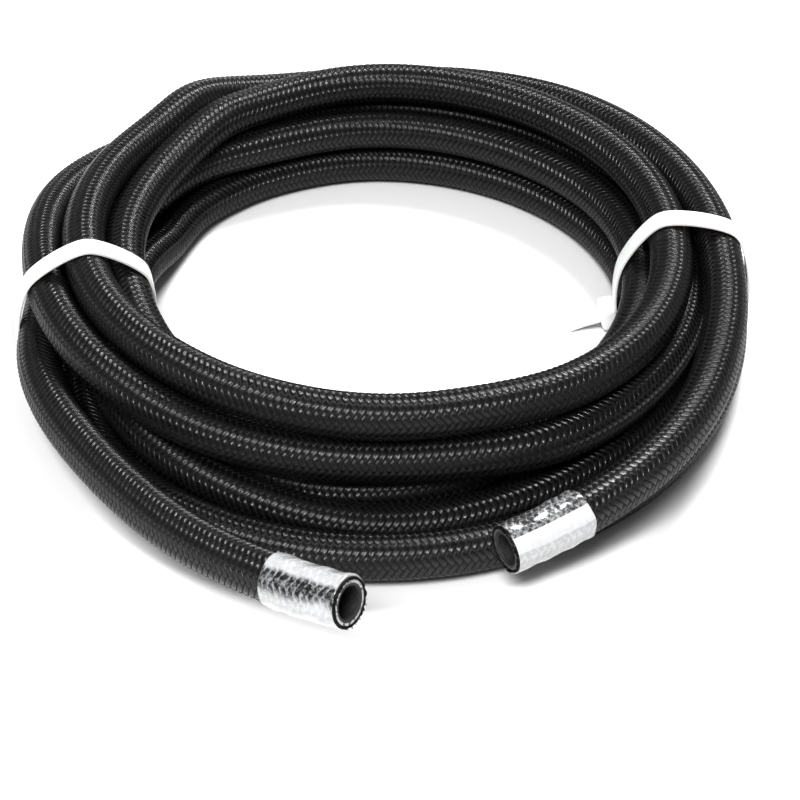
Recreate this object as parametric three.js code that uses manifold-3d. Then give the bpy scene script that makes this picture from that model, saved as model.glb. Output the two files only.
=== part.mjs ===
// Loose coil of nylon braided rubber fuel hose, seven turns tied with two cable ties.
// Both cut ends lie free on the coil's near side, each bound with a wrap of clear tape.
// Millimetres, +Z up. The coil lies on the level floor z = 0, with the origin under its middle.
import * as THREE from 'three';
import { mergeVertices } from 'three/addons/utils/BufferGeometryUtils.js';
import Module from 'manifold-3d';

// Hose: half inch class, with a 13/32 inch bore
const HOSE_OD = 16.0;
const BORE = 10.3;
const BORE_DEPTH = 90;
const BORE_OVERRUN = 2;
const HOSE_SIDES = 12;

// Coil: one turn in the middle and six round it, all at one mean radius
const COIL_RADIUS = 115;
const TURN_PITCH = 16.0;
const OUTER_TURNS = 6;
const TURN_ARC = 200;
const TURN_ARC_STEPS = 6;
const RING_STEPS = 48;

// Cable ties
const TIE_WIDTH = 7.6;
const TIE_THICKNESS = 1.3;
const TIE_GAP = 0.3;
const TIE_CORNER_STEPS = 4;
const LEFT_TIE_ANGLE = 192;
const RIGHT_TIE_ANGLE = -1;
const HEAD_WIDTH = 10.4;
const HEAD_LENGTH = 8.4;
const HEAD_HEIGHT = 6.2;

// Where each head sits, as a direction from the bundle's middle, and the way that its cut tail
// points, both in degrees, and how far the tail sticks out
const LEFT_HEAD = { seatDegrees: -48.5, tailDegrees: -20, tailLength: 2 };
const RIGHT_HEAD = { seatDegrees: 197.5, tailDegrees: 205, tailLength: 16 };

// Tape round the cut ends
const TAPE_LENGTH = 32;
const TAPE_WALL = 0.5;
const TAPE_GAP = 0.3;
const TAPE_STEPS = 2;

// Free ends, from the cut face back to the turn they come from. Each point is the hose's middle:
// its angle round the coil in degrees, and in hose diameters how far it lies outside the coil's
// mean radius and how high it is.
const LEFT_ROUTE = [
  [267.9, 5.69, 2.93], [263.4, 4.97, 2.65], [258.9, 4.39, 2.4], [250.9, 3.66, 2.1],
  [240.9, 2.7, 1.8], [228.7, 1.88, 1.5], [214.2, 1.27, 1.3], [198, 0.9, 1.12],
];
const RIGHT_ROUTE = [
  [284.2, 2.85, 1.5], [289.9, 2.5, 1.52], [295.6, 2.36, 1.6], [304.2, 2.22, 1.8],
  [312.2, 1.92, 1.9], [321.4, 1.57, 2], [332.3, 1.23, 2.1], [344.8, 0.95, 2.15],
  [353, 0.92, 2.15],
];

const HOSE_RADIUS = HOSE_OD / 2;
const BUNDLE_MIDDLE = TIE_GAP + TIE_THICKNESS + HOSE_RADIUS + TURN_PITCH;

const toRad = THREE.MathUtils.degToRad;
const wasm = await Module();
wasm.setup();

function toSolid(geometry) {
  const bare = geometry.clone();
  bare.deleteAttribute('normal');
  bare.deleteAttribute('uv');
  const merged = mergeVertices(bare, 1e-3);
  return new wasm.Manifold(new wasm.Mesh({
    numProp: 3,
    vertProperties: new Float32Array(merged.attributes.position.array),
    triVerts: new Uint32Array(merged.index.array),
  }));
}

function toGeometry(solid) {
  const mesh = solid.getMesh();
  const geometry = new THREE.BufferGeometry();
  geometry.setAttribute('position', new THREE.Float32BufferAttribute(mesh.vertProperties, 3));
  geometry.setIndex(Array.from(mesh.triVerts));
  geometry.computeVertexNormals();
  return geometry;
}

// Middle of each outer turn in the coil's section: distance from the axis, and height
function outerTurns() {
  const turns = [];
  for (let k = 0; k < OUTER_TURNS; k += 1) {
    const facing = (360 / OUTER_TURNS) * (k + 0.5);
    const across = COIL_RADIUS + TURN_PITCH * Math.cos(toRad(facing));
    const height = BUNDLE_MIDDLE + TURN_PITCH * Math.sin(toRad(facing));
    turns.push({ facing, across, height });
  }
  return turns;
}

// The coil's turned body: its section has a round lobe for each turn that shows
function coilBody() {
  const section = [];
  for (const turn of outerTurns()) {
    for (let k = 0; k <= TURN_ARC_STEPS; k += 1) {
      const angle = toRad(turn.facing + TURN_ARC * (k / TURN_ARC_STEPS - 0.5));
      const across = turn.across + HOSE_RADIUS * Math.cos(angle);
      const height = turn.height + HOSE_RADIUS * Math.sin(angle);
      section.push(new THREE.Vector2(across, height));
    }
  }
  section.push(section[0].clone());
  const ring = new THREE.LatheGeometry(section, RING_STEPS);
  ring.rotateX(Math.PI / 2);
  return ring;
}

// A route's smooth middle line, from the cut face back to the coil
function middleLine(route) {
  const points = route.map(([angle, out, height]) => {
    const across = COIL_RADIUS + out * HOSE_OD;
    const x = across * Math.cos(toRad(angle));
    const y = across * Math.sin(toRad(angle));
    return new THREE.Vector3(x, y, height * HOSE_OD);
  });
  const line = new THREE.CatmullRomCurve3(points, false, 'centripetal');
  line.arcLengthDivisions = 400;
  return line;
}

// The first stretch of a line, with the same headings. It can start ahead of the line's end.
class Stretch extends THREE.Curve {
  constructor(line, length, overrun = 0) {
    super();
    this.line = line;
    this.length = length;
    this.overrun = overrun;
  }

  distanceAt(u) {
    return u * (this.length + this.overrun) - this.overrun;
  }

  getPointAt(u, target = new THREE.Vector3()) {
    const distance = this.distanceAt(u);
    this.line.getPointAt(Math.max(0, distance) / this.line.getLength(), target);
    return target.addScaledVector(this.getTangentAt(u), Math.min(0, distance));
  }

  getTangentAt(u, target = new THREE.Vector3()) {
    const share = Math.max(0, this.distanceAt(u)) / this.line.getLength();
    return this.line.getTangentAt(share, target);
  }
}

function circle(radius) {
  const points = [];
  for (let k = 0; k < HOSE_SIDES; k += 1) {
    const angle = (2 * Math.PI * (k + 0.5)) / HOSE_SIDES;
    points.push(new THREE.Vector2(radius * Math.cos(angle), radius * Math.sin(angle)));
  }
  return points;
}

function sweep(outer, inner, path, steps) {
  const shape = new THREE.Shape(circle(outer));
  if (inner > 0) {
    shape.holes.push(new THREE.Path(circle(inner)));
  }
  return new THREE.ExtrudeGeometry(shape, { steps, extrudePath: path });
}

// One solid: the turned coil with its two free ends, each bored from its cut face
function fuelHose(lines) {
  let solid = toSolid(coilBody());
  for (const line of lines) {
    const steps = Math.round(line.getLength() / (TAPE_LENGTH / TAPE_STEPS));
    solid = solid.add(toSolid(sweep(HOSE_RADIUS, 0, line, steps)));
  }
  for (const line of lines) {
    const bore = new Stretch(line, BORE_DEPTH, BORE_OVERRUN);
    const steps = Math.round(BORE_DEPTH / (TAPE_LENGTH / TAPE_STEPS));
    solid = solid.subtract(toSolid(sweep(BORE / 2, 0, bore, steps)));
  }
  return toGeometry(solid);
}

function tapeWrap(line) {
  const inner = HOSE_RADIUS + TAPE_GAP;
  return sweep(inner + TAPE_WALL, inner, new Stretch(line, TAPE_LENGTH), TAPE_STEPS);
}

// Loop round the six outer turns, at a distance from them: straight runs and round corners
function loopRound(distance) {
  const radius = HOSE_RADIUS + distance;
  const points = [];
  for (const turn of outerTurns()) {
    const corner = 360 / OUTER_TURNS;
    for (let k = 0; k <= TIE_CORNER_STEPS; k += 1) {
      const angle = toRad(turn.facing + corner * (k / TIE_CORNER_STEPS - 0.5));
      const across = turn.across + radius * Math.cos(angle);
      const height = turn.height + radius * Math.sin(angle);
      points.push(new THREE.Vector2(across, height));
    }
  }
  return points;
}

function block(length, height, width, place) {
  const geometry = new THREE.BoxGeometry(length, height, width);
  geometry.rotateZ(place.lie);
  geometry.translate(place.across, place.height, 0);
  return toSolid(geometry);
}

// Strap, head and cut tail in one moulding, drawn in the coil's section and turned to its angle.
// The head sits on the strap's straight run nearest to its direction, and the tail leaves it there.
function cableTie(angle, head) {
  const outside = TIE_GAP + TIE_THICKNESS;
  const shape = new THREE.Shape(loopRound(outside));
  shape.holes.push(new THREE.Path(loopRound(TIE_GAP)));
  const strap = new THREE.ExtrudeGeometry(shape, { depth: TIE_WIDTH, bevelEnabled: false });
  strap.translate(0, 0, -TIE_WIDTH / 2);
  const sideTurn = 360 / OUTER_TURNS;
  const facing = Math.round(head.seatDegrees / sideTurn) * sideTurn;
  const out = toRad(facing);
  const run = TURN_PITCH * Math.cos(toRad(sideTurn / 2)) + HOSE_RADIUS + TIE_GAP;
  const along = run * Math.tan(toRad(head.seatDegrees - facing));
  const lift = run + HEAD_HEIGHT / 2;
  const headPlace = {
    lie: out + Math.PI / 2,
    across: COIL_RADIUS + lift * Math.cos(out) - along * Math.sin(out),
    height: BUNDLE_MIDDLE + lift * Math.sin(out) + along * Math.cos(out),
  };
  const droop = toRad(head.tailDegrees);
  const reach = (head.tailLength + HEAD_HEIGHT / 2) / 2;
  const tailPlace = {
    lie: droop,
    across: headPlace.across + reach * Math.cos(droop),
    height: headPlace.height + reach * Math.sin(droop),
  };
  const solid = toSolid(strap)
    .add(block(HEAD_LENGTH, HEAD_HEIGHT, HEAD_WIDTH, headPlace))
    .add(block(2 * reach, TIE_THICKNESS, TIE_WIDTH, tailPlace));
  const geometry = toGeometry(solid);
  const outward = new THREE.Vector3(Math.cos(toRad(angle)), Math.sin(toRad(angle)), 0);
  const upward = new THREE.Vector3(0, 0, 1);
  const sideways = outward.clone().cross(upward);
  geometry.applyMatrix4(new THREE.Matrix4().makeBasis(outward, upward, sideways));
  return geometry;
}

const LOOKS = {
  braid: new THREE.MeshStandardMaterial({ color: 0x1c1b1b, roughness: 0.55, metalness: 0 }),
  tape: new THREE.MeshStandardMaterial({ color: 0xc4c4c4, roughness: 0.3, metalness: 0 }),
  nylon: new THREE.MeshStandardMaterial({ color: 0xf1f1ef, roughness: 0.45, metalness: 0 }),
};

const part = new THREE.Group();
part.name = 'fuel_hose_coil';

function addPiece(name, geometry, look) {
  const mesh = new THREE.Mesh(geometry, look);
  mesh.name = name;
  part.add(mesh);
}

const leftLine = middleLine(LEFT_ROUTE);
const rightLine = middleLine(RIGHT_ROUTE);
addPiece('braided_fuel_hose', fuelHose([leftLine, rightLine]), LOOKS.braid);
addPiece('tape_wrap_left', tapeWrap(leftLine), LOOKS.tape);
addPiece('tape_wrap_right', tapeWrap(rightLine), LOOKS.tape);
addPiece('cable_tie_left', cableTie(LEFT_TIE_ANGLE, LEFT_HEAD), LOOKS.nylon);
addPiece('cable_tie_right', cableTie(RIGHT_TIE_ANGLE, RIGHT_HEAD), LOOKS.nylon);

// The origin goes under the middle of the whole part
const middle = new THREE.Box3().setFromObject(part).getCenter(new THREE.Vector3());
part.position.set(-middle.x, -middle.y, 0);

export default part;
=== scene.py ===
"""A loose coil of black braided fuel hose, held by two cable ties, its cut ends wrapped in clear tape."""

import functools
import math

import bpy
import numpy as np
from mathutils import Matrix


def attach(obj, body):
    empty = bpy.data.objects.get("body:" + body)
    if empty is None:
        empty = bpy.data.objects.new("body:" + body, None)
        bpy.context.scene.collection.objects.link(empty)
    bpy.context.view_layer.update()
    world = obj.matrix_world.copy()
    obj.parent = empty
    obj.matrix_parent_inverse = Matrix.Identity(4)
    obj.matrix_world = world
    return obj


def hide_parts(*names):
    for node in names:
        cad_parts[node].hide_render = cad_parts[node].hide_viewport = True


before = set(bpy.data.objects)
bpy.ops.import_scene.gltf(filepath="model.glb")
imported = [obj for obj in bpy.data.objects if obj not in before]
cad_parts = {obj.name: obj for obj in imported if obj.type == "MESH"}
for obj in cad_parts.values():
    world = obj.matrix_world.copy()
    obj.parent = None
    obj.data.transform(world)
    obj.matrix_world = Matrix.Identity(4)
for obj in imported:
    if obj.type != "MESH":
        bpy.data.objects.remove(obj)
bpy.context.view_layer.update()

bl_info = {
    "name": "Fuel hose coil",
    "version": (1, 0, 0),
    "blender": (4, 5, 0),
    "location": "3D View > Sidebar > Fuel hose",
    "description": "Builds a coil of braided fuel hose with its cable ties and taped ends",
    "category": "Add Mesh",
}

# The route of the hose, in hose diameters about the middle of the picture's coil.
# Each turn runs clockwise, seen from above, through these angles in degrees.
TURN_ANGLES = (185, 135, 112, 90, 45, 3, -45, -90, -135)
# For each turn, how far out its middle line is at each angle, and how high.
TURNS = (
    ((7.8, 8.35, 8.05, 8.1, 7.6, 7.02, 7.15, 7.5, 7.15), (1.1, 0.5, 0.5, 0.5, 0.5, 0.6, 0.5, 0.5, 1.05)),
    ((6.82, 8.2, 7.95, 8.1, 7.6, 7.05, 6.87, 6.55, 7.1), (1.6, 1.35, 1.4, 1.5, 1.5, 1.6, 1.58, 1.62, 1.95)),
    ((7.7, 9.12, 9.1, 9.05, 8.6, 7.95, 8.0, 8.3, 8.05), (2.1, 1.1, 0.55, 0.55, 0.55, 1.0, 0.5, 0.6, 0.5)),
    ((6.85, 7.3, 7.1, 7.1, 6.6, 6.05, 5.95, 6.5, 6.1), (0.6, 1.35, 1.48, 1.5, 1.5, 1.6, 1.42, 0.62, 0.55)),
    ((5.95, 6.85, 7.0, 7.1, 6.6, 6.03, 5.65, 5.5, 5.75), (1.1, 0.5, 0.5, 0.5, 0.5, 0.6, 0.5, 0.5, 1.5)),
    ((5.95, 6.88, 7.45, 7.75, 7.1, 6.6, 6.65, 6.4, 6.4), (2.1, 2.25, 2.38, 2.45, 2.5, 2.5, 2.55, 2.6, 2.6)),
    ((6.8, 7.8, 8.7, 8.95, 8.1, 7.65), (2.6, 2.2, 1.6, 1.6, 2.15, 2.35)),
)
# The free ends: angle, distance out and height. The left one runs from its cut face to the coil.
LEFT_END = (
    (-92.6, 12.27, 2.91),
    (-96.9, 11.66, 2.65),
    (-101.6, 11.09, 2.4),
    (-110, 10.38, 2.1),
    (-120.5, 9.45, 1.8),
    (-133.5, 8.7, 1.5),
    (-150, 8.32, 1.3),
    (-163, 8.15, 1.2),
)
RIGHT_END = (
    (-12, 7.85, 2.2),
    (-25, 8.07, 2.1),
    (-36, 8.46, 2.0),
    (-45.6, 8.75, 1.9),
    (-54, 9.0, 1.8),
    (-63, 9.1, 1.6),
    (-69, 9.22, 1.52),
    (-75, 9.55, 1.5),
)
# In metres: where the route above is measured from, and the upright axis that the ties point away from
ROUTE_MIDDLE = np.array((-0.00083, 0.02994, 0.0))
COIL_AXIS = np.array((-0.00083, 0.03794, 0.0))
# Degrees from one point of the route to the next
ANGLE_STEP = 2.5

# How the turns settle, in hose diameters: how much of a bend goes in a round, how much of the way home the
# hose goes back, and the least distance between turns.
SETTLE_ROUNDS = 320
PUSHES_IN_A_ROUND = 3
STIFFNESS = 0.3
PULL_HOME = 0.02
LEAST_APART = 1.01
LOWEST_MIDDLE = 0.5
# The straps under the coil lift it off the floor over this many degrees.
TIE_ANGLES = (188, 3)
TIE_LIFT = 0.115
TIE_LIFT_SPREAD = 22.0

# Half the length over which the hose's direction is taken, in metres.
DIRECTION_REACH = 0.0005
UP = np.array((0.0, 0.0, 1.0))


def unit(vectors):
    """Vectors of length one."""
    return vectors / np.linalg.norm(vectors, axis=-1, keepdims=True)


def eased(values):
    """Values from 0 to 1 with a soft start and end."""
    clipped = np.clip(values, 0.0, 1.0)
    return clipped * clipped * (3.0 - 2.0 * clipped)


def cubic(knots, values, places):
    """A smooth curve through values at rising knots, read at places."""
    slopes = np.empty_like(values)
    slopes[1:-1] = (values[2:] - values[:-2]) / (knots[2:] - knots[:-2])[:, None]
    slopes[0] = (values[1] - values[0]) / (knots[1] - knots[0])
    slopes[-1] = (values[-1] - values[-2]) / (knots[-1] - knots[-2])
    i = np.clip(np.searchsorted(knots, places, side="right") - 1, 0, len(knots) - 2)
    span = (knots[i + 1] - knots[i])[:, None]
    u = (places - knots[i])[:, None] / span
    blend = u * u * (3.0 - 2.0 * u)
    bend = u * (1.0 - u) * span * ((1.0 - u) * slopes[i] - u * slopes[i + 1])
    return values[i] + blend * (values[i + 1] - values[i]) + bend


def settled(places):
    """Pushes turns apart that lie in each other, keeps them on the floor and the hose's bends gentle."""
    travelled = places[:, 0]
    route = places[:, 1:].copy()
    home = route.copy()
    turn = int(round(360.0 / (travelled[1] - travelled[0])))
    floor = np.full(len(route), LOWEST_MIDDLE)
    for angle in TIE_ANGLES:
        away = np.abs((-travelled - angle + 180.0) % 360.0 - 180.0)
        floor += TIE_LIFT * eased(1.0 - away / TIE_LIFT_SPREAD)
    for _ in range(SETTLE_ROUNDS):
        route[1:-1] += STIFFNESS * ((route[:-2] + route[2:]) / 2.0 - route[1:-1])
        route += PULL_HOME * (home - route)
        for _ in range(PUSHES_IN_A_ROUND):
            for laps in range(1, len(route) // turn + 1):
                first = route[: -turn * laps]
                second = route[turn * laps :]
                apart = second - first
                distance = np.maximum(np.linalg.norm(apart, axis=1), 1e-6)
                push = np.clip(LEAST_APART - distance, 0.0, None) / 2.0 / distance
                first -= push[:, None] * apart
                second += push[:, None] * apart
            route[:, 1] = np.maximum(route[:, 1], floor)
    route[0] = home[0]
    route[-1] = home[-1]
    return np.column_stack([travelled, route])


@functools.lru_cache(maxsize=None)
def hose_route(diameter):
    """The middle line of the hose, from the left cut face to the right one."""
    rows = [(-(angle + 360.0), out, up) for angle, out, up in LEFT_END]
    for turn, (outs, ups) in enumerate(TURNS):
        rows += [(360.0 * turn - angle, out, up) for angle, out, up in zip(TURN_ANGLES, outs, ups)]
    last = 360.0 * (len(TURNS) - 1)
    rows += [(last - angle, out, up) for angle, out, up in RIGHT_END]
    rows = np.array(rows)
    count = int(round((rows[-1, 0] - rows[0, 0]) / ANGLE_STEP)) + 1
    travelled = np.linspace(rows[0, 0], rows[-1, 0], count)
    places = settled(np.column_stack([travelled, cubic(rows[:, 0], rows[:, 1:], travelled)]))
    angles = np.radians(-places[:, 0])
    flat = [places[:, 1] * np.cos(angles), places[:, 1] * np.sin(angles), places[:, 2]]
    return Line(ROUTE_MIDDLE + diameter * np.stack(flat, axis=1))


class Line:
    """A smooth curve through points, read by the length along it."""

    def __init__(self, points):
        self.points = np.asarray(points, float)
        steps = np.linalg.norm(np.diff(self.points, axis=0), axis=1)
        self.knots = np.concatenate([[0.0], np.cumsum(steps)])
        self.length = self.knots[-1]

    def at(self, places):
        """Points at the given lengths."""
        return cubic(self.knots, self.points, np.asarray(places, float))

    def ahead(self, places):
        """Directions at the given lengths."""
        places = np.asarray(places, float)
        low = np.clip(places - DIRECTION_REACH, 0.0, self.length)
        high = np.clip(places + DIRECTION_REACH, 0.0, self.length)
        return unit(self.at(high) - self.at(low))

    def rings(self, places, radii, angles):
        """Points round the line: a row for each place, at these radii and angles."""
        ahead = self.ahead(places)
        side = unit(np.cross(ahead, UP))
        top = np.cross(side, ahead)
        angles = np.asarray(angles)
        across = np.cos(angles)[..., None] * side[:, None, :] + np.sin(angles)[..., None] * top[:, None, :]
        return self.at(places)[:, None, :] + np.broadcast_to(radii, across.shape[:2])[..., None] * across


def swept(points, section, outward):
    """A section carried along points. Its pairs go across and outward."""
    ahead = unit(np.gradient(points, axis=0))
    side = unit(np.cross(ahead, outward))
    top = np.cross(side, ahead)
    section = np.asarray(section)
    return points[:, None, :] + section[..., :1] * side[:, None, :] + section[..., 1:] * top[:, None, :]


def grid_faces(rows, columns, flip=False):
    """Faces of a closed grid of points, row after row."""
    i = np.arange(rows - 1)[:, None]
    j = np.arange(columns)[None, :]
    k = (j + 1) % columns
    corners = [i * columns + j, (i + 1) * columns + j, (i + 1) * columns + k, i * columns + k]
    if flip:
        corners.reverse()
    return np.stack(corners, axis=-1).reshape(-1, 4)


def grid_map(along, columns, flip=False):
    """The surface coordinates of such a grid's face corners: along it, and round it from 0 to 1."""
    along = np.asarray(along, float)
    low, high = np.meshgrid(along[:-1], np.arange(columns) / columns, indexing="ij")
    far = np.meshgrid(along[1:], np.arange(columns) / columns, indexing="ij")[0]
    step = 1.0 / columns
    corners = [(low, high), (far, high), (far, high + step), (low, high + step)]
    if flip:
        corners.reverse()
    return np.stack([np.stack(corner, axis=-1) for corner in corners], axis=2).reshape(-1, 2)


def ends(line):
    """Each end's name, where its cut face is along the line, and which way leads into the hose from there."""
    return (("left", 0.0, 1.0), ("right", line.length, -1.0))


class Shell:
    """Gathers grids of points into one mesh."""

    def __init__(self):
        self.points = []
        self.faces = []
        self.maps = []
        self.count = 0

    def add(self, rows, along=None, flip=False):
        """One more closed grid."""
        rows = np.asarray(rows)
        height, width = rows.shape[:2]
        self.points.append(rows.reshape(-1, 3))
        self.faces.append(grid_faces(height, width, flip) + self.count)
        self.maps.append(grid_map(np.linspace(0.0, 1.0, height) if along is None else along, width, flip))
        self.count += height * width

    def piece(self, name, material, nodes=()):
        """The finished object, riding on the part."""
        mesh = bpy.data.meshes.new(name)
        mesh.from_pydata(np.concatenate(self.points).tolist(), [], np.concatenate(self.faces).tolist())
        layer = mesh.uv_layers.new(name="surface")
        layer.data.foreach_set("uv", np.concatenate(self.maps).astype(np.float32).ravel())
        mesh.polygons.foreach_set("use_smooth", [True] * len(mesh.polygons))
        mesh.materials.append(material)
        mesh.update()
        obj = bpy.data.objects.new(name, mesh)
        bpy.context.scene.collection.objects.link(obj)
        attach(obj, "root")
        if nodes:
            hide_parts(*nodes)
        return obj


class Wire:
    """A socket of a material's nodes, with plain arithmetic."""

    def __init__(self, tree, socket):
        self.tree = tree
        self.socket = socket

    def node(self, kind, settings=None, values=None, output=0):
        """Any other node, with its settings and its sockets' values or links."""
        made = self.tree.nodes.new(kind)
        for name, value in (settings or {}).items():
            setattr(made, name, value)
        for name, value in (values or {}).items():
            if isinstance(value, Wire):
                self.tree.links.new(value.socket, made.inputs[name])
            else:
                made.inputs[name].default_value = value
        return Wire(self.tree, made.outputs[output])

    def math(self, operation, *others):
        """A Math node of this number and others."""
        return self.node("ShaderNodeMath", {"operation": operation}, dict(enumerate((self, *others))))

    def __add__(self, other):
        return self.math("ADD", other)

    def __radd__(self, other):
        return self.math("ADD", other)

    def __sub__(self, other):
        return self.math("SUBTRACT", other)

    def __rsub__(self, other):
        return self.node("ShaderNodeMath", {"operation": "SUBTRACT"}, {0: other, 1: self})

    def __mul__(self, other):
        return self.math("MULTIPLY", other)

    def __rmul__(self, other):
        return self.math("MULTIPLY", other)

    def __pow__(self, other):
        return self.math("POWER", other)

    def __mod__(self, other):
        return self.math("FLOORED_MODULO", other)

    def floor(self):
        """The whole number below."""
        return self.math("FLOOR")

    def below(self, limit):
        """One where this is less than the limit."""
        return self.math("LESS_THAN", limit)

    def step(self, low, high):
        """A soft step from 0 at low to 1 at high."""
        settings = {"interpolation_type": "SMOOTHSTEP"}
        return self.node("ShaderNodeMapRange", settings, {"Value": self, "From Min": low, "From Max": high})

    def choose(self, first, second):
        """The first number where this is 0, and the second where it is 1."""
        return self * (second - first) + first

    def colours(self, first, second):
        """A blend of two colours, by this number."""
        # Sockets 6 and 7 and output 2 are the ones for colours.
        return self.node("ShaderNodeMix", {"data_type": "RGBA"}, {0: self, 6: first, 7: second}, output=2)


class Finish:
    """A material made of nodes."""

    def __init__(self, name, **constants):
        self.material = bpy.data.materials.new(name)
        self.material.use_nodes = True
        self.tree = self.material.node_tree
        self.shader = next(n for n in self.tree.nodes if n.type == "BSDF_PRINCIPLED")
        for socket, value in constants.items():
            self.shader.inputs[socket.replace("_", " ")].default_value = value

    def source(self, kind, output=0, **settings):
        """The output of a node without inputs."""
        made = self.tree.nodes.new(kind)
        for name, value in settings.items():
            setattr(made, name, value)
        return Wire(self.tree, made.outputs[output])

    def surface(self):
        """The surface coordinates along and round a piece."""
        both = self.source("ShaderNodeUVMap", uv_map="surface")
        split = both.node("ShaderNodeSeparateXYZ", None, {0: both})
        return split, Wire(self.tree, split.socket.node.outputs[1])

    def noise(self, scale, detail=3.0, rough=0.5):
        """Soft noise from 0 to 1, fixed to the part."""
        place = self.source("ShaderNodeTexCoord", output=3)
        values = {"Vector": place, "Scale": scale, "Detail": detail, "Roughness": rough}
        return place.node("ShaderNodeTexNoise", None, values)

    def feed(self, socket, wire):
        """Joins a number or colour that varies to a socket of the shader."""
        self.tree.links.new(wire.socket, self.shader.inputs[socket])

    def bump(self, height, distance):
        """Relief, where a height of 1 stands this many metres proud."""
        self.feed("Normal", height.node("ShaderNodeBump", None, {"Height": height, "Distance": distance}))


def rgb(colour):
    """A colour with its alpha."""
    return (*colour, 1.0)


# Ribbons that wind each way round the hose, how far they wander in pitches, and how far they lean
ROWS_EACH_WAY = 12
RIBBON_WOBBLE = 0.22
RIBBON_LEAN = 0.55


def braid(finish):
    """The braid's height, the slits between its ribbons, their threads and a number of chance for each."""
    along, around = finish.surface()
    along = along + (finish.noise(160.0, 2.0) - 0.5) * RIBBON_WOBBLE
    u = along + around * ROWS_EACH_WAY
    v = along - around * ROWS_EACH_WAY
    cell_u = u.floor()
    cell_v = v.floor()
    # Two over and two under: a ribbon of the first kind is on top in two of each four cells.
    first = ((cell_u - cell_v) % 4.0).below(1.5)
    length_way = first.choose((v - cell_u - 1.0) % 4.0, (u - cell_v) % 4.0) * 0.5
    cross_way = first.choose(u - cell_u, v - cell_v)
    from_middle = (cross_way * 2.0 - 1.0).math("ABSOLUTE")
    from_centre = (length_way * 2.0 - 1.0).math("ABSOLUTE")
    crown = 1.0 - from_middle**2.6
    rise = 1.0 - from_centre**3.2
    number = cell_v * 7.31 + ((u - cell_v) * 0.25).floor() * 3.17
    other = cell_u * 5.77 + ((v - cell_u - 1.0) * 0.25).floor() * 2.63 + 91.0
    ribbon = first.choose(other, number)
    chance = ribbon.node("ShaderNodeTexWhiteNoise", {"noise_dimensions": "1D"}, {"W": ribbon})
    threads = ((cross_way * 7.0 + length_way * 0.6 + chance * 3.0) * math.tau).math("SINE")
    tilt = first.choose(-RIBBON_LEAN, RIBBON_LEAN) * (cross_way - 0.5)
    height = crown * 0.5 + rise * 0.45 + threads * 0.04 + chance * 0.12 + tilt
    # The slit mask marks where painted shade darkens the gaps between ribbons, and where they turn rough.
    slit = from_middle.step(0.62, 0.98) + from_centre.step(0.72, 1.0) * 0.75
    return height, slit.math("MINIMUM", 1.0), threads, chance


def braid_finish(settings):
    """Black nylon ribbons, two over and two under, with painted shade in the slits between them."""
    finish = Finish("black_nylon_braid", Specular_IOR_Level=1.0)
    height, slit, threads, chance = braid(finish)
    ribbon = (chance * 0.5 + 0.5 + threads * 0.16).math("MAXIMUM", 0.0)
    tone = ribbon.colours(rgb(settings.dark), rgb(settings.light))
    # Base colour: the ribbons' own tone, with painted shade in the slits.
    finish.feed("Base Color", slit.colours(tone, rgb(settings.slit)))
    gloss = 0.19 + chance * 0.09 + slit * 0.6
    finish.feed("Roughness", gloss.math("MINIMUM", 1.0))
    finish.bump(height, settings.ribbon_height)
    return finish.material


def liner_finish(settings, name):
    """Dark grey rubber, with a paler broken ring of cord between it and the braid."""
    finish = Finish("liner_rubber_" + name, Roughness=0.6)
    outward = finish.surface()[0]
    grain = finish.noise(1500.0, 3.0, 0.6)
    tufts = finish.noise(620.0, 2.0, 0.6)
    ring = outward.step(0.02, 0.06) * (1.0 - outward.step(0.42, 0.6)) * tufts.step(0.34, 0.52)
    rubber = grain.colours(rgb(settings.rubber), rgb([c * 2.2 for c in settings.rubber]))
    # The right end's cord ring is painted at 0.28 of its colour, as painted shade on that cut face.
    cord = settings.cord if name == "left" else [c * 0.28 for c in settings.cord]
    finish.feed("Base Color", ring.colours(rubber, rgb(cord)))
    finish.bump(grain * 0.6 + tufts, 0.0003)
    return finish.material


def tape_finish(settings, name):
    """Clear tape over the braid: grey where it has stuck to the ribbons, and pale where air is under it and
    where highlight and reflection are painted in bands round the tape.
    """
    finish = Finish("clear_tape_" + name, Roughness=0.16, Coat_Weight=0.5, Coat_Roughness=0.06)
    height = braid(finish)[0]
    around = finish.surface()[1]
    patches = finish.noise(170.0, 3.0, 0.6)
    fine = finish.noise(900.0, 2.0, 0.65)
    edge = around + (patches - 0.5) * 0.03
    # Bands by angle round the tape: grey where the braid shows through, pale film elsewhere, and that pale
    # film also paints the highlight and reflection.
    if name == "left":
        stretch = finish.noise(70.0, 1.0)
        middle = edge.step(0.3, 0.335) * (1.0 - edge.step(0.41, 0.5)) * stretch.step(0.3, 0.5)
        zone = (middle * 0.75 + 0.25 + (1.0 - edge.step(0.2, 0.27)) * 0.15).math("MINIMUM", 1.0)
    else:
        zone = (1.0 - around.step(0.325, 0.332)) * 0.95 + edge.step(0.43, 0.445) * 0.3
    specks = (height * 0.35 + fine * 1.1 + patches * 0.4).step(0.72, 1.2)
    # The pale film colour stands partly for painted highlight and reflection.
    film_with_painted_reflection = patches.colours(rgb(settings.tape), rgb([min(1.0, c * 1.15) for c in settings.tape]))
    grey = (zone * (specks * 0.6 + 0.4)).math("MINIMUM", 1.0)
    finish.feed("Base Color", grey.colours(film_with_painted_reflection, rgb(settings.stuck)))
    creases = finish.noise(420.0, 3.0, 0.55)
    finish.bump(creases * 0.7 + height * 0.3, 0.0003)
    return finish.material


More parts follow.
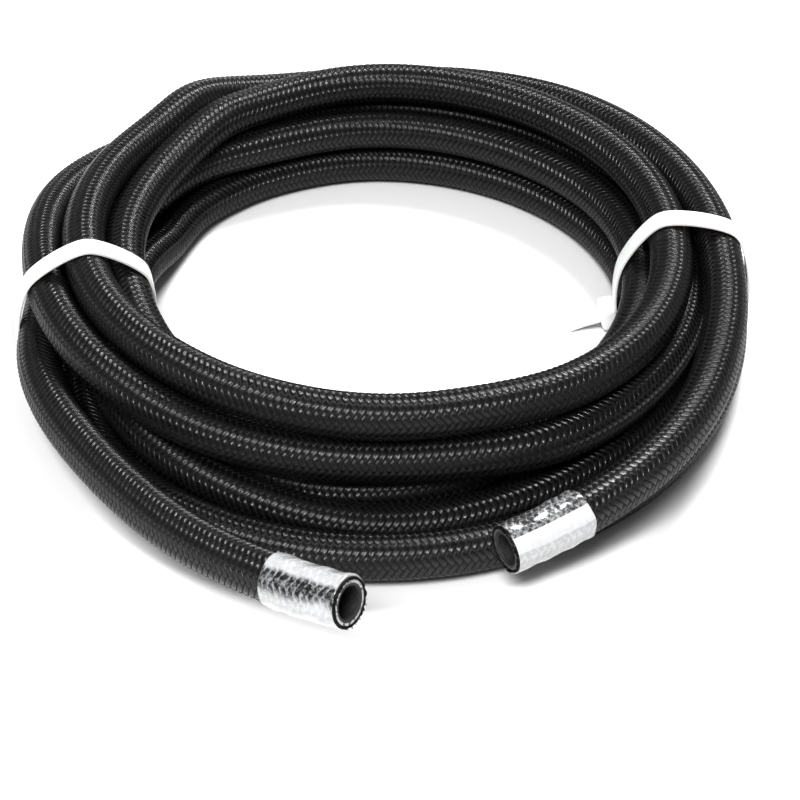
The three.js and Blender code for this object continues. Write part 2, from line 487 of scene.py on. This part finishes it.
def tie_finish(settings):
    """White moulded nylon."""
    finish = Finish("white_tie_nylon", Roughness=0.34, Subsurface_Weight=0.12, Subsurface_Scale=0.002)
    cloudy = finish.noise(90.0, 2.0)
    deeper = [c * 0.95 for c in settings.colour]
    finish.feed("Base Color", cloudy.colours(rgb(settings.colour), rgb(deeper)))
    finish.bump(finish.noise(2600.0, 2.0), 0.00004)
    return finish.material


def floor_finish(settings):
    """Plain pale floor."""
    finish = Finish("pale_floor", Roughness=0.75, Specular_IOR_Level=0.2)
    soft = finish.noise(3.0, 2.0)
    finish.feed("Base Color", soft.colours(rgb(settings.floor), rgb([c * 0.995 for c in settings.floor])))
    return finish.material


class HoseSettings(bpy.types.PropertyGroup):
    """The hose's sizes and colours."""

    diameter: bpy.props.FloatProperty(
        name="Diameter",
        description="Outside diameter of the braid",
        default=0.016,
        unit="LENGTH",
    )
    bore: bpy.props.FloatProperty(
        name="Bore",
        description="Inside diameter of the rubber liner",
        default=0.0103,
        unit="LENGTH",
    )
    jacket: bpy.props.FloatProperty(
        name="Braid thickness",
        description="How thick the braid is at the cut face",
        default=0.0008,
        unit="LENGTH",
    )
    pitch: bpy.props.FloatProperty(
        name="Braid pitch",
        description="Length of one braid cell along the hose",
        default=0.0025,
        unit="LENGTH",
    )
    relief: bpy.props.FloatProperty(
        name="Braid relief",
        description="How far ribbons stand proud of the gaps",
        default=0.00028,
        unit="LENGTH",
    )
    ribbon_height: bpy.props.FloatProperty(
        name="Ribbon height",
        description="Relief of each ribbon's own surface",
        default=0.0006,
        unit="LENGTH",
    )
    light: bpy.props.FloatVectorProperty(
        name="Light ribbon",
        description="Colour of the palest ribbons",
        subtype="COLOR",
        default=(0.011, 0.0102, 0.0099),
    )
    dark: bpy.props.FloatVectorProperty(
        name="Dark ribbon",
        description="Colour of the darkest ribbons",
        subtype="COLOR",
        default=(0.004, 0.0037, 0.0037),
    )
    # Near black: painted shade in the gaps between ribbons. It is also the darkest tone of the cut threads.
    slit: bpy.props.FloatVectorProperty(
        name="Slit",
        description="Colour between the ribbons",
        subtype="COLOR",
        default=(0.0008, 0.0008, 0.0008),
    )
    rubber: bpy.props.FloatVectorProperty(
        name="Rubber",
        description="Colour of the liner",
        subtype="COLOR",
        default=(0.035, 0.035, 0.036),
    )
    cord: bpy.props.FloatVectorProperty(
        name="Cord ring",
        description="Colour of the cord round the liner",
        subtype="COLOR",
        default=(0.6, 0.6, 0.6),
    )


class TapeSettings(bpy.types.PropertyGroup):
    """The tape's sizes and colours."""

    length: bpy.props.FloatProperty(
        name="Length",
        description="Length of each wrap along the hose",
        default=0.0285,
        unit="LENGTH",
    )
    gap: bpy.props.FloatProperty(
        name="Gap",
        description="Room between the braid and the tape",
        default=0.00025,
        unit="LENGTH",
    )
    layer: bpy.props.FloatProperty(
        name="Layer",
        description="How far each turn of tape stands on the one under it",
        default=0.00016,
        unit="LENGTH",
    )
    # Its pale colour also stands for painted highlight and reflection on the tape.
    tape: bpy.props.FloatVectorProperty(
        name="Tape",
        description="Colour of the tape with air under it",
        subtype="COLOR",
        default=(0.6, 0.605, 0.61),
    )
    stuck: bpy.props.FloatVectorProperty(
        name="Stuck",
        description="Colour where the braid shows through",
        subtype="COLOR",
        default=(0.035, 0.035, 0.037),
    )


class TieSettings(bpy.types.PropertyGroup):
    """The cable ties' sizes and colour."""

    width: bpy.props.FloatProperty(
        name="Width",
        description="Width of the strap",
        default=0.009,
        unit="LENGTH",
    )
    thickness: bpy.props.FloatProperty(
        name="Thickness",
        description="Thickness of the strap",
        default=0.0013,
        unit="LENGTH",
    )
    gap: bpy.props.FloatProperty(
        name="Gap",
        description="Room between the strap and the hose",
        default=0.0002,
        unit="LENGTH",
    )
    head: bpy.props.FloatVectorProperty(
        name="Head",
        description="Width, length and height of the head",
        default=(0.0118, 0.0084, 0.0062),
        unit="LENGTH",
    )
    slot: bpy.props.FloatVectorProperty(
        name="Head slot",
        description="Width and length of the slot through the head",
        size=2,
        default=(0.0096, 0.0026),
        unit="LENGTH",
    )
    colour: bpy.props.FloatVectorProperty(
        name="Colour",
        description="Colour of the nylon",
        subtype="COLOR",
        default=(0.93, 0.93, 0.92),
    )


class StageSettings(bpy.types.PropertyGroup):
    """The camera, lights and floor."""

    focal: bpy.props.FloatProperty(
        name="Focal length",
        description="In millimetres",
        default=97.2,
    )
    elevation: bpy.props.FloatProperty(
        name="Elevation",
        description="How far the camera looks down",
        default=math.radians(38.0),
        subtype="ANGLE",
    )
    distance: bpy.props.FloatProperty(
        name="Distance",
        description="From the camera to what it looks at",
        default=0.776,
        unit="LENGTH",
    )
    sky: bpy.props.FloatProperty(
        name="Sky",
        description="Strength of the light from all round",
        default=0.33,
    )
    key: bpy.props.FloatProperty(
        name="Key light",
        description="Power of the soft light overhead",
        default=58.0,
    )
    front: bpy.props.FloatProperty(
        name="Front light",
        description="Power of the soft light in front",
        default=42.0,
    )
    exposure: bpy.props.FloatProperty(
        name="Exposure",
        description="Brightness of the picture in stops",
        default=0.2,
    )
    gamma: bpy.props.FloatProperty(
        name="Gamma",
        description="Below 1 deepens the dark tones",
        default=0.68,
    )
    floor: bpy.props.FloatVectorProperty(
        name="Floor",
        description="Colour of the floor",
        subtype="COLOR",
        default=(0.93, 0.93, 0.93),
    )


def hose_of(context):
    """The hose's settings and middle line."""
    settings = context.scene.fuel_hose
    return settings, hose_route(round(settings.diameter, 6))


# What the camera looks at, in hose diameters from the coil's middle
LOOKED_AT = np.array((0.37, -3.1, 0.5))
# Each soft light's name, the setting of its power, its width and its place in metres
LAMPS = (
    ("soft_key", "key", 1.1, (0.7, 1.5, 2.0)),
    ("soft_front", "front", 0.8, (-0.35, -1.25, 1.75)),
)
# Half the floor's side in metres
FLOOR_REACH = 4.0


class AddStage(bpy.types.Operator):
    """Sets the camera at the photograph's angle, with soft light and a pale floor"""

    bl_idname = "fuel_hose.add_stage"
    bl_label = "Add camera, lights and floor"

    def execute(self, context):
        """Builds the stage."""
        settings = context.scene.fuel_hose_stage
        target = ROUTE_MIDDLE + LOOKED_AT * context.scene.fuel_hose.diameter
        back = np.array((0.0, -math.cos(settings.elevation), math.sin(settings.elevation)))
        camera = bpy.data.objects.new("camera", bpy.data.cameras.new("camera"))
        camera.data.lens = settings.focal
        camera.data.sensor_width = 36.0
        camera.data.clip_end = 20.0
        camera.location = target + back * settings.distance
        camera.rotation_euler = (math.pi / 2.0 - settings.elevation, 0.0, 0.0)
        context.scene.collection.objects.link(camera)
        context.scene.camera = camera
        for name, power, width, place in LAMPS:
            lamp = bpy.data.lights.new(name, "AREA")
            lamp.shape = "DISK"
            lamp.size = width
            lamp.energy = getattr(settings, power)
            light = bpy.data.objects.new(name, lamp)
            light.location = place
            lean = math.atan2(math.hypot(place[0], place[1]), place[2])
            light.rotation_euler = (lean, 0.0, math.atan2(place[0], -place[1]))
            context.scene.collection.objects.link(light)
        world = bpy.data.worlds.new("studio")
        world.use_nodes = True
        sky = world.node_tree.nodes["Background"]
        sky.inputs["Color"].default_value = (1.0, 1.0, 1.0, 1.0)
        sky.inputs["Strength"].default_value = settings.sky
        context.scene.world = world
        context.scene.view_settings.view_transform = "Standard"
        context.scene.view_settings.exposure = settings.exposure
        context.scene.view_settings.gamma = settings.gamma
        corners = [(-1, -1), (1, -1), (1, 1), (-1, 1)]
        mesh = bpy.data.meshes.new("floor")
        mesh.from_pydata([(x * FLOOR_REACH, y * FLOOR_REACH, 0.0) for x, y in corners], [], [(0, 1, 2, 3)])
        mesh.materials.append(floor_finish(settings))
        floor = bpy.data.objects.new("floor", mesh)
        context.scene.collection.objects.link(floor)
        return {"FINISHED"}


class AddHose(bpy.types.Operator):
    """Builds the braided hose along its coil"""

    bl_idname = "fuel_hose.add_hose"
    bl_label = "Add braided hose"

    def execute(self, context):
        """Builds the braid's tube, with every other crossing standing proud."""
        settings, line = hose_of(context)
        count = 2 * int(round(line.length / settings.pitch)) + 1
        places = np.linspace(0.0, line.length, count)
        around = 2 * ROWS_EACH_WAY
        angles = np.arange(around) * math.tau / around
        proud = (np.add.outer(np.arange(count), np.arange(around)) % 2) * 1.0
        radii = settings.diameter / 2.0 - settings.relief * (1.0 - proud)
        shell = Shell()
        shell.add(line.rings(places, radii, angles), along=np.arange(count) / 2.0)
        hose = shell.piece("fuel_hose_braid", braid_finish(settings), ["braided_fuel_hose"])
        return {"FINISHED"}


CUT_SEED = 7
FACE_SIDES = 64
# The liner's section, ring by ring from the braid to deep in the bore: how far behind the cut, in metres,
# and how far out, from 0 at the bore to 1 at the braid
LINER_DEPTHS = np.array([0.0012, 0.0004, 0.0, 0.0, 0.0, 0.0, 0.0, 0.0002, 0.0008, 0.012, 0.03, 0.06])
LINER_SPREAD = np.array([1.02, 1.0, 0.97, 0.8, 0.6, 0.4, 0.15, 0.04, 0.0, 0.0, 0.0, 0.0])
# How uneven the rubber is, in metres
LINER_GRAIN = 0.00003
# The frayed edge's rings, from outside the braid to inside it
FRINGE_DEPTHS = np.array([0.0016, 0.0004, -0.0001, -0.0003, 0.0, 0.0014])
FRINGE_GRAIN = 0.00025
# Threads that stand out of the edge: how many, how deep they start, and how they thin out
LOOSE_THREADS = 150
THREAD_ROOT = 0.0008
THREAD_TAPER = np.array([1.0, 1.0, 0.9, 0.5])


class AddCutEnds(bpy.types.Operator):
    """Builds both cut faces: the rubber liner with its bore, and the frayed edge of the braid"""

    bl_idname = "fuel_hose.add_cut_ends"
    bl_label = "Add cut ends"

    def execute(self, context):
        """Builds a liner and a fringe at each end."""
        settings, line = hose_of(context)
        nylon = Finish("cut_nylon", Roughness=0.6)
        nylon.feed("Base Color", nylon.noise(900.0).colours(rgb(settings.slit), rgb(settings.light)))
        random = np.random.default_rng(CUT_SEED)
        for end in ends(line):
            self.add_liner(settings, line, end, random)
            self.add_fringe(settings, line, end, random, nylon.material)
        return {"FINISHED"}

    def add_liner(self, settings, line, end, random):
        """The rubber's cut face, and the bore behind it."""
        name, cut, inward = end
        wall = settings.diameter / 2.0 - settings.jacket
        bore = settings.bore / 2.0
        angles = np.arange(FACE_SIDES) * math.tau / FACE_SIDES
        grain = random.normal(0.0, LINER_GRAIN, (len(LINER_SPREAD), FACE_SIDES))
        radii = (bore + (wall - bore) * LINER_SPREAD)[:, None] + grain
        rows = line.rings(cut + inward * LINER_DEPTHS, radii, angles)
        shell = Shell()
        shell.add(rows, along=1.0 - np.clip(LINER_SPREAD, 0, 1), flip=inward > 0)
        shell.piece("hose_liner_" + name, liner_finish(settings, name))

    def add_fringe(self, settings, line, end, random, material):
        """The braid's ragged edge, and the threads that stand out of it."""
        name, cut, inward = end
        outer = settings.diameter / 2.0
        wall = outer - settings.jacket
        angles = np.arange(FACE_SIDES) * math.tau / FACE_SIDES
        depth = FRINGE_DEPTHS[:, None] + random.normal(0.0, FRINGE_GRAIN, (len(FRINGE_DEPTHS), FACE_SIDES))
        rim = np.array([outer - 0.0001, outer - 0.00005, outer - 0.0002, wall + 0.0003, wall, wall - 0.0002])
        middle = line.at([cut])[0]
        ahead = line.ahead([cut])[0] * inward
        rows = line.rings(np.full(len(rim), cut), rim[:, None], angles) + depth[..., None] * ahead
        shell = Shell()
        shell.add(rows, flip=inward > 0)
        corner = np.arange(3) * math.tau / 3
        triangle = np.stack([np.cos(corner), np.sin(corner)], axis=1)
        run = np.linspace(0.0, 1.0, len(THREAD_TAPER))[:, None]
        for _ in range(LOOSE_THREADS):
            turn = random.uniform(0.0, math.tau)
            reach = random.uniform(0.0001, 0.0009)
            foot = random.uniform(wall + 0.0001, outer - 0.0001)
            lean = random.normal(0.15, 0.4)
            twist = random.normal(0.0, 0.5)
            thickness = random.uniform(0.00007, 0.00013)
            side = line.rings([cut], [[1.0]], [turn])[0, 0] - middle
            bend = side * lean + np.cross(ahead, side) * twist
            root = middle + side * foot + ahead * THREAD_ROOT
            points = root - run * (reach + THREAD_ROOT) * ahead + run**2 * reach * bend
            shell.add(swept(points, triangle * thickness * THREAD_TAPER[:, None, None], side))
        shell.piece("frayed_braid_" + name, material)


TAPE_SEED = 11
TAPE_SIDES = 120
TAPE_ROWS = 76
# How far behind the cut face the tape starts, and where its upper layer ends: how far along on average,
# how much that slants, and over what length the layer steps down
TAPE_SETBACK = 0.0004
LAYER_END = 0.017
LAYER_SLANT = 0.003
LAYER_STEP = 0.0006
CREASES = 14
# The far edge is skewed and wavy, which fades out over this length
EDGE_SKEW = 0.0007
EDGE_WAVES = 0.0002
EDGE_FADE = 0.008


class AddTapes(bpy.types.Operator):
    """Wraps both ends in clear tape"""

    bl_idname = "fuel_hose.add_tapes"
    bl_label = "Add tape wraps"

    def execute(self, context):
        """Builds a creased sleeve with the step of its upper layer at each end."""
        hose, line = hose_of(context)
        settings = context.scene.fuel_hose_tape
        random = np.random.default_rng(TAPE_SEED)
        angles = np.arange(TAPE_SIDES) * math.tau / TAPE_SIDES
        # Two more rows at each edge close the sleeve down onto the braid.
        run = np.linspace(0.0, settings.length, TAPE_ROWS)
        along = np.concatenate([[0.0, 0.0], run, [settings.length, settings.length]])
        lift = np.concatenate([[0.0, 0.5], np.ones(TAPE_ROWS), [0.5, 0.0]])
        layer = eased((along[:, None] - LAYER_END - LAYER_SLANT * np.cos(angles - 1.0)) / LAYER_STEP)
        thickness = settings.gap + settings.layer * (1.0 + layer)
        fade = eased((along - settings.length + EDGE_FADE) / EDGE_FADE)
        for name, cut, inward in ends(line):
            creases = np.zeros((len(along), TAPE_SIDES))
            for _ in range(CREASES):
                waves = random.integers(1, 7)
                slant = random.uniform(-900.0, 900.0)
                height = random.uniform(0.00002, 0.00007)
                phase = random.uniform(0.0, math.tau)
                creases += height * np.sin(angles * waves + along[:, None] * slant + phase)
            skew = EDGE_SKEW * np.cos(angles + random.uniform(0.0, math.tau))
            skew += EDGE_WAVES * np.sin(5.0 * angles)
            radii = hose.diameter / 2.0 + (thickness + creases) * lift[:, None]
            places = cut + inward * (TAPE_SETBACK + along)
            ahead = line.ahead(places) * inward
            rows = line.rings(places, radii, angles) + (skew * fade[:, None])[..., None] * ahead[:, None, :]
            shell = Shell()
            shell.add(rows, along=places / hose.pitch, flip=inward < 0)
            shell.piece("tape_" + name, tape_finish(settings, name), ["tape_wrap_" + name])
        return {"FINISHED"}


LOOP_POINTS = 240
# How much a strap rounds off the outline's corners, and the share of what it cut off that it then moves out
STRAP_SOFTNESS = 0.14
STRAP_SLACK = 0.25


def stiff_loop(outline, lowest):
    """A stiff strap's line round an outline and above the floor, and the line's normals."""
    middle = (outline.min(axis=0) + outline.max(axis=0)) / 2.0
    turns = np.arange(LOOP_POINTS) * math.tau / LOOP_POINTS
    normals = np.stack([np.cos(turns), np.sin(turns)], axis=1)
    reach = ((outline - middle) @ normals.T).max(axis=0)
    waves = np.fft.rfft(reach)
    soft = np.fft.irfft(waves * np.exp(-0.5 * (STRAP_SOFTNESS * np.arange(len(waves))) ** 2), LOOP_POINTS)
    soft += STRAP_SLACK * (reach - soft).max()
    slope = (np.roll(soft, -1) - np.roll(soft, 1)) * LOOP_POINTS / (2.0 * math.tau)
    tangents = np.stack([-normals[:, 1], normals[:, 0]], axis=1)
    loop = middle + soft[:, None] * normals + slope[:, None] * tangents
    loop[:, 1] = np.maximum(loop[:, 1], lowest)
    return loop, normals


# The hose is searched in steps of this many metres
STRAND_STEP = 0.001


def strands(line, radial, across):
    """How far out and how high the hose passes through the upright half plane of a tie."""
    points = line.at(np.arange(0.0, line.length, STRAND_STEP)) - COIL_AXIS
    side = points @ across
    out = points @ radial
    found = []
    for i in np.flatnonzero((side[:-1] * side[1:] <= 0.0) & (out[:-1] > 0.0)):
        share = side[i] / (side[i] - side[i + 1])
        found.append((points[i] + share * (points[i + 1] - points[i])) @ np.stack([radial, UP], axis=1))
    return np.array(found)


def rounded(half_width, half_height, corner, steps=4):
    """A rounded rectangle's corners, counter-clockwise."""
    quarter = np.linspace(0.0, math.pi / 2.0, steps)
    middle = (half_width - corner, half_height - corner)
    points = []
    for turn, (x, y) in enumerate(((1, 1), (-1, 1), (-1, -1), (1, -1))):
        angle = quarter + turn * math.pi / 2.0
        points += [
            (x * middle[0] + corner * math.cos(a), y * middle[1] + corner * math.sin(a))
            for a in angle.tolist()
        ]
    return np.array(points)


# Each tie: its name, its angle about the coil's axis and where on the strap the head sits, in degrees, and
# the length of its tail in metres and the way it points in degrees
TIES = (
    ("left", 192.0, -56.0, 0.002, -20.0),
    ("right", -1.0, 197.5, 0.0165, 210.0),
)
# Points round the outline of each turn that a strap goes round
OUTLINE_SIDES = 96
STRAP_CORNER = 0.00035
TAIL_CORNER = 0.0003
TAIL_ROWS = 40
TAIL_TEETH = 0.86
TAIL_SHORTEST_BEND = 0.004
# A tail longer than this runs to a narrow tip
LONG_TAIL = 0.01
TIP_LENGTH = 0.0035
TIP_WIDTH = 0.45


class AddTies(bpy.types.Operator):
    """Pulls two white cable ties round the coil's turns"""

    bl_idname = "fuel_hose.add_ties"
    bl_label = "Add cable ties"

    def execute(self, context):
        """Builds a strap, a head and a tail for each tie."""
        hose, line = hose_of(context)
        settings = context.scene.fuel_hose_tie
        finish = tie_finish(settings)
        circle = np.arange(OUTLINE_SIDES) * math.tau / OUTLINE_SIDES
        reach = hose.diameter / 2.0 + settings.gap + settings.thickness / 2.0
        ring = np.stack([np.cos(circle), np.sin(circle)], axis=1) * reach
        section = rounded(settings.width / 2.0, settings.thickness / 2.0, STRAP_CORNER)
        for name, angle, seat, tail, lean in TIES:
            turn = math.radians(angle)
            radial = np.array((math.cos(turn), math.sin(turn), 0.0))
            across = np.array((-math.sin(turn), math.cos(turn), 0.0))
            middles = strands(line, radial, across)
            if len(middles) < 2:
                raise RuntimeError("The hose doesn't pass through the " + name + " tie")
            outline = (middles[:, None, :] + ring[None]).reshape(-1, 2)
            loop, normal = stiff_loop(outline, settings.thickness / 2.0)
            order = (int(round(seat / 360.0 * len(loop))) + np.arange(len(loop) + 1)) % len(loop)
            loop, normal = loop[order], normal[order]
            place = COIL_AXIS + loop[:, :1] * radial + loop[:, 1:] * UP
            outward = normal[:, :1] * radial + normal[:, 1:] * UP
            shell = Shell()
            shell.add(swept(place, section, outward))
            self.add_head(shell, settings, place[0], outward[0], across)
            self.add_tail(shell, settings, loop[0], normal[0], radial, tail, lean)
            shell.piece("cable_tie_strap_" + name, finish, ["cable_tie_" + name])
        return {"FINISHED"}

    def add_head(self, shell, settings, seat, outward, across):
        """The box that locks the strap, with the slot through it."""
        width, length = settings.head[0] / 2.0, settings.head[1] / 2.0
        height = settings.head[2]
        slot_width, slot_length = (size / 2.0 for size in settings.slot)
        loop_way = np.cross(outward, across)
        # Half width, half length, corner and height of each ring, from its foot over its rim into the slot
        rows = (
            (width - 0.0008, length - 0.0008, 0.0012, -0.0004),
            (width - 0.0002, length - 0.0002, 0.0012, 0.0),
            (width, length, 0.0012, 0.0006),
            (width, length, 0.0012, height - 0.0009),
            (width - 0.0002, length - 0.0002, 0.0012, height - 0.0003),
            (width - 0.0008, length - 0.0008, 0.0010, height),
            (slot_width + 0.0004, slot_length + 0.0004, 0.0006, height),
            (slot_width, slot_length, 0.0005, height - 0.0005),
            (slot_width, slot_length, 0.0005, 0.0008),
        )
        grid = []
        for half_width, half_length, corner, up in rows:
            outline = rounded(half_width, half_length, corner, 6)
            grid.append(seat + outline[:, :1] * across + outline[:, 1:] * loop_way + up * outward)
        shell.add(np.array(grid), flip=True)

    def add_tail(self, shell, settings, seat, normal, radial, length, lean):
        """The strap's free end, from inside the head to its cut tip."""
        first = math.atan2(normal[1], normal[0])
        last = math.radians(lean)
        last += math.tau * round((first - last) / math.tau)
        total = settings.head[2] + length
        share = np.linspace(0.0, 1.0, TAIL_ROWS)
        bent = eased((share * total - settings.head[2]) / max(length, TAIL_SHORTEST_BEND))
        bend = first + (last - first) * bent
        moves = np.stack([np.cos(bend), np.sin(bend)], axis=1) * total / (TAIL_ROWS - 1)
        flat = seat + np.vstack([[0.0, 0.0], np.cumsum(moves[:-1], axis=0)])
        flat[:, 1] = np.maximum(flat[:, 1], settings.thickness / 2.0)
        points = COIL_AXIS + flat[:, :1] * radial + flat[:, 1:] * UP
        facing = -np.sin(bend)[:, None] * radial + np.cos(bend)[:, None] * UP
        section = rounded(settings.width / 2.0, settings.thickness / 2.0, TAIL_CORNER)
        sections = np.repeat(section[None], TAIL_ROWS, axis=0)
        sections[:, :, 1] *= np.where(np.arange(TAIL_ROWS) % 2 == 0, 1.0, TAIL_TEETH)[:, None]
        from_tip = (total - share * total) / TIP_LENGTH if length > LONG_TAIL else np.ones(TAIL_ROWS)
        sections[:, :, 0] *= (TIP_WIDTH + (1.0 - TIP_WIDTH) * np.clip(from_tip, 0.0, 1.0))[:, None]
        # Two more rows close the cut end.
        closing = points[-1] + np.array([[0.0001], [0.00015]]) * unit(points[-1] - points[-2])
        points = np.vstack([points, closing])
        sections = np.concatenate([sections, sections[-1:] * 0.8, sections[-1:] * 0.0])
        shell.add(swept(points, sections, np.vstack([facing, facing[-1:], facing[-1:]])))


class FuelHosePanel(bpy.types.Panel):
    """The settings and steps in the sidebar"""

    bl_idname = "VIEW3D_PT_fuel_hose"
    bl_label = "Fuel hose"
    bl_space_type = "VIEW_3D"
    bl_region_type = "UI"
    bl_category = "Fuel hose"

    def draw(self, context):
        """Lists the settings and the steps."""
        layout = self.layout
        for name in GROUPS:
            settings = getattr(context.scene, name)
            box = layout.box()
            for field in settings.__annotations__:
                box.prop(settings, field)
        for operator in OPERATORS:
            layout.operator(operator.bl_idname)


GROUPS = {
    "fuel_hose": HoseSettings,
    "fuel_hose_tape": TapeSettings,
    "fuel_hose_tie": TieSettings,
    "fuel_hose_stage": StageSettings,
}
OPERATORS = (AddStage, AddHose, AddCutEnds, AddTapes, AddTies)


def register():
    """Adds the classes and settings to Blender."""
    for kind in (*GROUPS.values(), *OPERATORS, FuelHosePanel):
        bpy.utils.register_class(kind)
    for name, kind in GROUPS.items():
        setattr(bpy.types.Scene, name, bpy.props.PointerProperty(type=kind))


def unregister():
    """Takes them away again."""
    for name in GROUPS:
        delattr(bpy.types.Scene, name)
    for kind in (FuelHosePanel, *reversed(OPERATORS), *GROUPS.values()):
        bpy.utils.unregister_class(kind)


def main():
    """Builds the whole scene."""
    register()
    bpy.ops.fuel_hose.add_stage()
    bpy.ops.fuel_hose.add_hose()
    bpy.ops.fuel_hose.add_cut_ends()
    bpy.ops.fuel_hose.add_tapes()
    bpy.ops.fuel_hose.add_ties()


if __name__ == "__main__":
    main()
